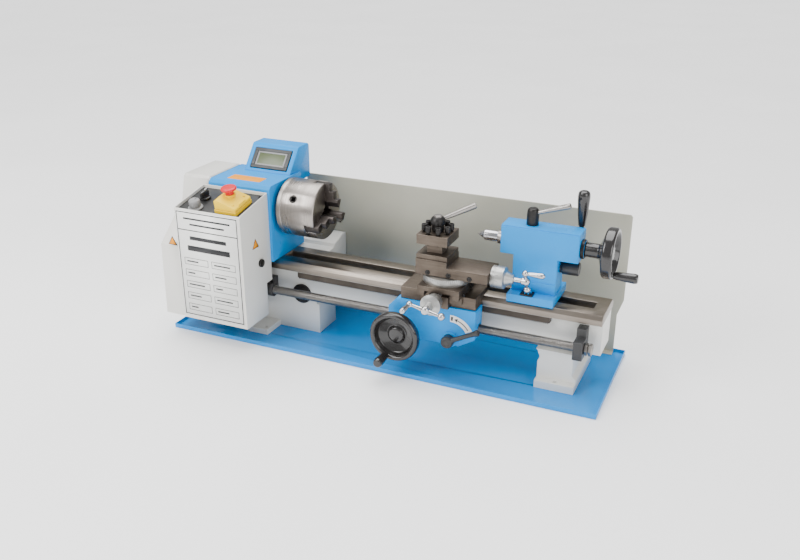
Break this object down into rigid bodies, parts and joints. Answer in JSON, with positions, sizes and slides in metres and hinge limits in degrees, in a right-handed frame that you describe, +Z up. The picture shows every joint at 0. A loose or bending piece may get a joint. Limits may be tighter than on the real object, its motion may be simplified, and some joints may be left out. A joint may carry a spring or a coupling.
{
  "type": "bench metal lathe",
  "caption": "Small bench metalworking lathe with geared headstock, three-jaw chuck, screw-driven carriage with compound slide, tailstock, chip tray and splash guard.",
  "frame": {"origin": "centre of the chip tray's underside", "axes": "+X along the bed towards the tailstock, +Y from the operator to the rear, +Z up"},
  "size_m": [0.805, 0.2828, 0.313],
  "materials": {
    "bed_paint_and_ways": "painted with ground ways",
    "belt_rubber": "matte",
    "black_iron": "black paint",
    "black_oxide": "black oxide",
    "black_plastic": "gloss",
    "blue_paint": "gloss",
    "bright_chrome": "polished",
    "bronze": "machined",
    "chuck_steel": "turned bright",
    "display_dark": "satin",
    "gear_steel": "machined, oiled",
    "ground_iron": "ground, oiled",
    "ground_steel": "ground",
    "guard_paint": "satin",
    "jaw_steel": "hardened dark",
    "knob_grey": "satin",
    "motor_paint": "satin",
    "panel_black": "satin",
    "red_plastic": "gloss",
    "white_paint": "gloss",
    "yellow_plastic": "gloss"
  },
  "bodies": {
    "machine": {"chip_tray": "blue_paint", "splash_guard": "guard_paint", "bed": "bed_paint_and_ways", "feed_rack": "ground_iron", "plugs_and_screws": "black_oxide", "headstock": "blue_paint", "display_housing": "blue_paint", "display_window": "display_dark", "spindle_bearings": "ground_steel", "drive_belt": "belt_rubber", "motor": "motor_paint", "motor_cover": "white_paint", "gear_cover": "white_paint", "cast_brackets": "black_iron", "control_box": "white_paint", "control_panel": "panel_black"},
    "spindle": {"spindle": "ground_steel", "chuck_body": "chuck_steel"},
    "scroll": {"chuck_scroll": "gear_steel"},
    "pinion_1": {"chuck_pinion_1": "black_oxide"},
    "pinion_2": {"chuck_pinion_2": "black_oxide"},
    "pinion_3": {"chuck_pinion_3": "black_oxide"},
    "jaw_1": {"chuck_jaw_1": "jaw_steel"},
    "jaw_2": {"chuck_jaw_2": "jaw_steel"},
    "jaw_3": {"chuck_jaw_3": "jaw_steel"},
    "layshaft": {"layshaft": "gear_steel"},
    "motor_shaft": {"motor_pulley": "gear_steel"},
    "tumbler_gear": {"tumbler_gear": "gear_steel"},
    "stud_gear": {"stud_gear": "gear_steel"},
    "banjo_gear": {"banjo_gear": "gear_steel"},
    "leadscrew": {"leadscrew": "ground_steel"},
    "speed_knob": {"speed_knob": "knob_grey"},
    "direction_knob": {"direction_knob": "black_plastic"},
    "range_lever": {"range_lever": "black_plastic"},
    "estop_cover": {"estop_cover": "yellow_plastic"},
    "estop_button": {"estop_button": "red_plastic"},
    "carriage": {"carriage_saddle": "ground_iron", "apron": "blue_paint"},
    "apron_wheel": {"apron_handwheel": "black_plastic"},
    "apron_handle": {"apron_handle": "black_plastic"},
    "apron_gear": {"apron_gear": "gear_steel"},
    "half_nut_upper": {"half_nut_upper": "bronze"},
    "half_nut_lower": {"half_nut_lower": "bronze"},
    "half_nut_lever": {"half_nut_lever": "black_iron"},
    "cross_slide": {"cross_slide": "ground_iron"},
    "cross_crank": {"cross_crank": "bright_chrome"},
    "compound_base": {"compound_base": "ground_steel"},
    "compound_slide": {"compound_slide": "ground_iron"},
    "compound_crank": {"compound_crank": "bright_chrome"},
    "toolpost": {"toolpost": "ground_iron", "toolpost_bolts": "black_oxide"},
    "toolpost_lever": {"toolpost_lever": "black_oxide"},
    "tailstock": {"tailstock_base": "blue_paint", "tailstock_body": "blue_paint"},
    "quill": {"quill": "ground_steel", "dead_centre": "bright_chrome"},
    "tail_wheel": {"tailstock_handwheel": "black_plastic"},
    "tail_handle": {"tailstock_handle": "black_plastic"},
    "quill_lock": {"quill_lock": "black_oxide"},
    "clamp_lever": {"clamp_lever": "black_plastic"}
  },
  "joints": [
    {"name": "spindle_spin", "type": "hinge", "parent": "machine", "child": "spindle", "pos_m": [-0.25, 0, 0.224], "axis": [1, 0, 0], "continuous": true},
    {"name": "scroll_turn", "type": "hinge", "parent": "spindle", "child": "scroll", "pos_m": [-0.16, 0, 0.224], "axis": [1, 0, 0], "range_deg": [-630, 900]},
    {"name": "jaw_1_slide", "type": "slide", "parent": "spindle", "child": "jaw_1", "axis": [0, 0.0698, 0.9976], "range_m": [-0.007, 0.01]},
    {"name": "pinion_1_turn", "type": "hinge", "parent": "spindle", "child": "pinion_1", "pos_m": [-0.166, 0, 0.224], "axis": [0, -0.829, 0.5592], "range_deg": [-2520, 3600]},
    {"name": "jaw_2_slide", "type": "slide", "parent": "spindle", "child": "jaw_2", "axis": [0, -0.8988, -0.4384], "range_m": [-0.007, 0.01]},
    {"name": "pinion_2_turn", "type": "hinge", "parent": "spindle", "child": "pinion_2", "pos_m": [-0.166, 0, 0.224], "axis": [0, -0.0698, -0.9976], "range_deg": [-2520, 3600]},
    {"name": "jaw_3_slide", "type": "slide", "parent": "spindle", "child": "jaw_3", "axis": [0, 0.829, -0.5592], "range_m": [-0.007, 0.01]},
    {"name": "pinion_3_turn", "type": "hinge", "parent": "spindle", "child": "pinion_3", "pos_m": [-0.166, 0, 0.224], "axis": [0, 0.8988, 0.4384], "range_deg": [-2520, 3600]},
    {"name": "layshaft_spin", "type": "hinge", "parent": "machine", "child": "layshaft", "pos_m": [-0.25, 0.03, 0.2041], "axis": [1, 0, 0], "continuous": true},
    {"name": "motor_spin", "type": "hinge", "parent": "machine", "child": "motor_shaft", "pos_m": [-0.25, 0.074, 0.098], "axis": [1, 0, 0], "continuous": true},
    {"name": "tumbler_spin", "type": "hinge", "parent": "machine", "child": "tumbler_gear", "pos_m": [-0.352, 0.00415, 0.18925], "axis": [1, 0, 0], "continuous": true},
    {"name": "stud_spin", "type": "hinge", "parent": "machine", "child": "stud_gear", "pos_m": [-0.352, -0.022, 0.166], "axis": [1, 0, 0], "continuous": true},
    {"name": "banjo_spin", "type": "hinge", "parent": "machine", "child": "banjo_gear", "pos_m": [-0.363, -0.0167, 0.1163], "axis": [1, 0, 0], "continuous": true},
    {"name": "leadscrew_spin", "type": "hinge", "parent": "machine", "child": "leadscrew", "pos_m": [0, -0.054, 0.083], "axis": [1, 0, 0], "continuous": true},
    {"name": "speed_knob_turn", "type": "hinge", "parent": "machine", "child": "speed_knob", "pos_m": [-0.308, -0.121, 0.24114], "axis": [0, -0.1924, 0.9813], "range_deg": [0, 270]},
    {"name": "direction_knob_turn", "type": "hinge", "parent": "machine", "child": "direction_knob", "pos_m": [-0.311, -0.088, 0.24761], "axis": [0, -0.1924, 0.9813], "range_deg": [-45, 45]},
    {"name": "range_lever_turn", "type": "hinge", "parent": "machine", "child": "range_lever", "pos_m": [-0.27, 0.06, 0.17], "axis": [0, 1, 0], "range_deg": [-40, 20]},
    {"name": "stop_cover_hinge", "type": "hinge", "parent": "machine", "child": "estop_cover", "pos_m": [-0.2225, -0.10501, 0.25243], "axis": [0, 0.9813, 0.1924], "range_deg": [0, 95]},
    {"name": "stop_button_push", "type": "slide", "parent": "estop_cover", "child": "estop_button", "axis": [0, 0.1924, -0.9813], "range_m": [0, 0.004], "stiffness_N_per_m": 900},
    {"name": "carriage_slide", "type": "slide", "parent": "machine", "child": "carriage", "axis": [1, 0, 0], "range_m": [-0.14, 0.034]},
    {"name": "apron_gear_spin", "type": "hinge", "parent": "carriage", "child": "apron_gear", "pos_m": [0.053, -0.06, 0.099], "axis": [0, -1, 0], "range_deg": [-1003.68, 244.51]},
    {"name": "apron_wheel_spin", "type": "hinge", "parent": "carriage", "child": "apron_wheel", "pos_m": [0.053, -0.1, 0.07], "axis": [0, -1, 0], "range_deg": [-542.13, 2229.17]},
    {"name": "apron_handle_spin", "type": "hinge", "parent": "apron_wheel", "child": "apron_handle", "pos_m": [0.0408, -0.135, 0.038], "axis": [0, -1, 0], "continuous": true},
    {"name": "half_nut_upper_slide", "type": "slide", "parent": "carriage", "child": "half_nut_upper", "axis": [0, 0, -1], "range_m": [0, 0.0035]},
    {"name": "half_nut_lower_slide", "type": "slide", "parent": "carriage", "child": "half_nut_lower", "axis": [0, 0, 1], "range_m": [0, 0.00351]},
    {"name": "half_nut_lever_turn", "type": "hinge", "parent": "carriage", "child": "half_nut_lever", "pos_m": [0.136, -0.08, 0.068], "axis": [0, -1, 0], "range_deg": [-0.5, 50.5]},
    {"name": "cross_slide_move", "type": "slide", "parent": "carriage", "child": "cross_slide", "axis": [0, 1, 0], "range_m": [-0.006, 0.012]},
    {"name": "cross_crank_turn", "type": "hinge", "parent": "carriage", "child": "cross_crank", "pos_m": [0.117, -0.1, 0.14], "axis": [0, 1, 0], "range_deg": [-2161, 4321]},
    {"name": "compound_swivel", "type": "hinge", "parent": "cross_slide", "child": "compound_base", "pos_m": [0.117, -0.049, 0.16], "axis": [0, 0, 1], "range_deg": [-60, 0]},
    {"name": "compound_slide_move", "type": "slide", "parent": "compound_base", "child": "compound_slide", "axis": [1, 0, 0], "range_m": [-0.02, 0.02]},
    {"name": "compound_crank_turn", "type": "hinge", "parent": "compound_slide", "child": "compound_crank", "pos_m": [0.2, -0.049, 0.176], "axis": [1, 0, 0], "range_deg": [-7201, 7201]},
    {"name": "toolpost_index", "type": "hinge", "parent": "compound_slide", "child": "toolpost", "pos_m": [0.1005, -0.049, 0.215], "axis": [0, 0, 1], "continuous": true},
    {"name": "toolpost_lever_turn", "type": "hinge", "parent": "compound_slide", "child": "toolpost_lever", "pos_m": [0.1005, -0.049, 0.25], "axis": [0, 0, 1], "range_deg": [-60, 40]},
    {"name": "tailstock_slide", "type": "slide", "parent": "machine", "child": "tailstock", "axis": [1, 0, 0], "range_m": [-0.03, 0.068]},
    {"name": "quill_slide", "type": "slide", "parent": "tailstock", "child": "quill", "axis": [-1, 0, 0], "range_m": [-0.006, 0.05]},
    {"name": "tail_wheel_turn", "type": "hinge", "parent": "tailstock", "child": "tail_wheel", "pos_m": [0.35, 0, 0.224], "axis": [-1, 0, 0], "range_deg": [-1441, 12001]},
    {"name": "tail_handle_spin", "type": "hinge", "parent": "tail_wheel", "child": "tail_handle", "pos_m": [0.39, -0.016, 0.195], "axis": [1, 0, 0], "continuous": true},
    {"name": "quill_lock_turn", "type": "hinge", "parent": "tailstock", "child": "quill_lock", "pos_m": [0.239, 0, 0.26], "axis": [0, 0, 1], "range_deg": [-40, 60]},
    {"name": "clamp_lever_turn", "type": "hinge", "parent": "tailstock", "child": "clamp_lever", "pos_m": [0.3, 0.008, 0.186], "axis": [1, 0, 0], "range_deg": [-35, 0]}
  ],
  "couplings": [
    {"joint": "jaw_1_slide", "follows": "scroll_turn", "m_per_rad": 0.00063662},
    {"joint": "pinion_1_turn", "follows": "scroll_turn", "ratio": 4},
    {"joint": "jaw_2_slide", "follows": "scroll_turn", "m_per_rad": 0.00063662},
    {"joint": "pinion_2_turn", "follows": "scroll_turn", "ratio": 4},
    {"joint": "jaw_3_slide", "follows": "scroll_turn", "m_per_rad": 0.00063662},
    {"joint": "pinion_3_turn", "follows": "scroll_turn", "ratio": 4},
    {"joint": "layshaft_spin", "follows": "spindle_spin", "ratio": -1.6667},
    {"joint": "motor_spin", "follows": "spindle_spin", "ratio": -3.3333},
    {"joint": "tumbler_spin", "follows": "spindle_spin", "ratio": -1.8},
    {"joint": "stud_spin", "follows": "spindle_spin", "ratio": 1},
    {"joint": "banjo_spin", "follows": "spindle_spin", "ratio": -0.25},
    {"joint": "leadscrew_spin", "follows": "spindle_spin", "ratio": 0.0625},
    {"joint": "apron_gear_spin", "follows": "carriage_slide", "rad_per_m": 125},
    {"joint": "apron_wheel_spin", "follows": "carriage_slide", "rad_per_m": -277.78},
    {"joint": "half_nut_lower_slide", "follows": "half_nut_upper_slide", "ratio": 1},
    {"joint": "half_nut_lever_turn", "follows": "half_nut_upper_slide", "rad_per_m": 249.33},
    {"joint": "cross_crank_turn", "follows": "cross_slide_move", "rad_per_m": 6283.2},
    {"joint": "compound_crank_turn", "follows": "compound_slide_move", "rad_per_m": 6283.2},
    {"joint": "tail_wheel_turn", "follows": "quill_slide", "rad_per_m": 4188.8}
  ]
}
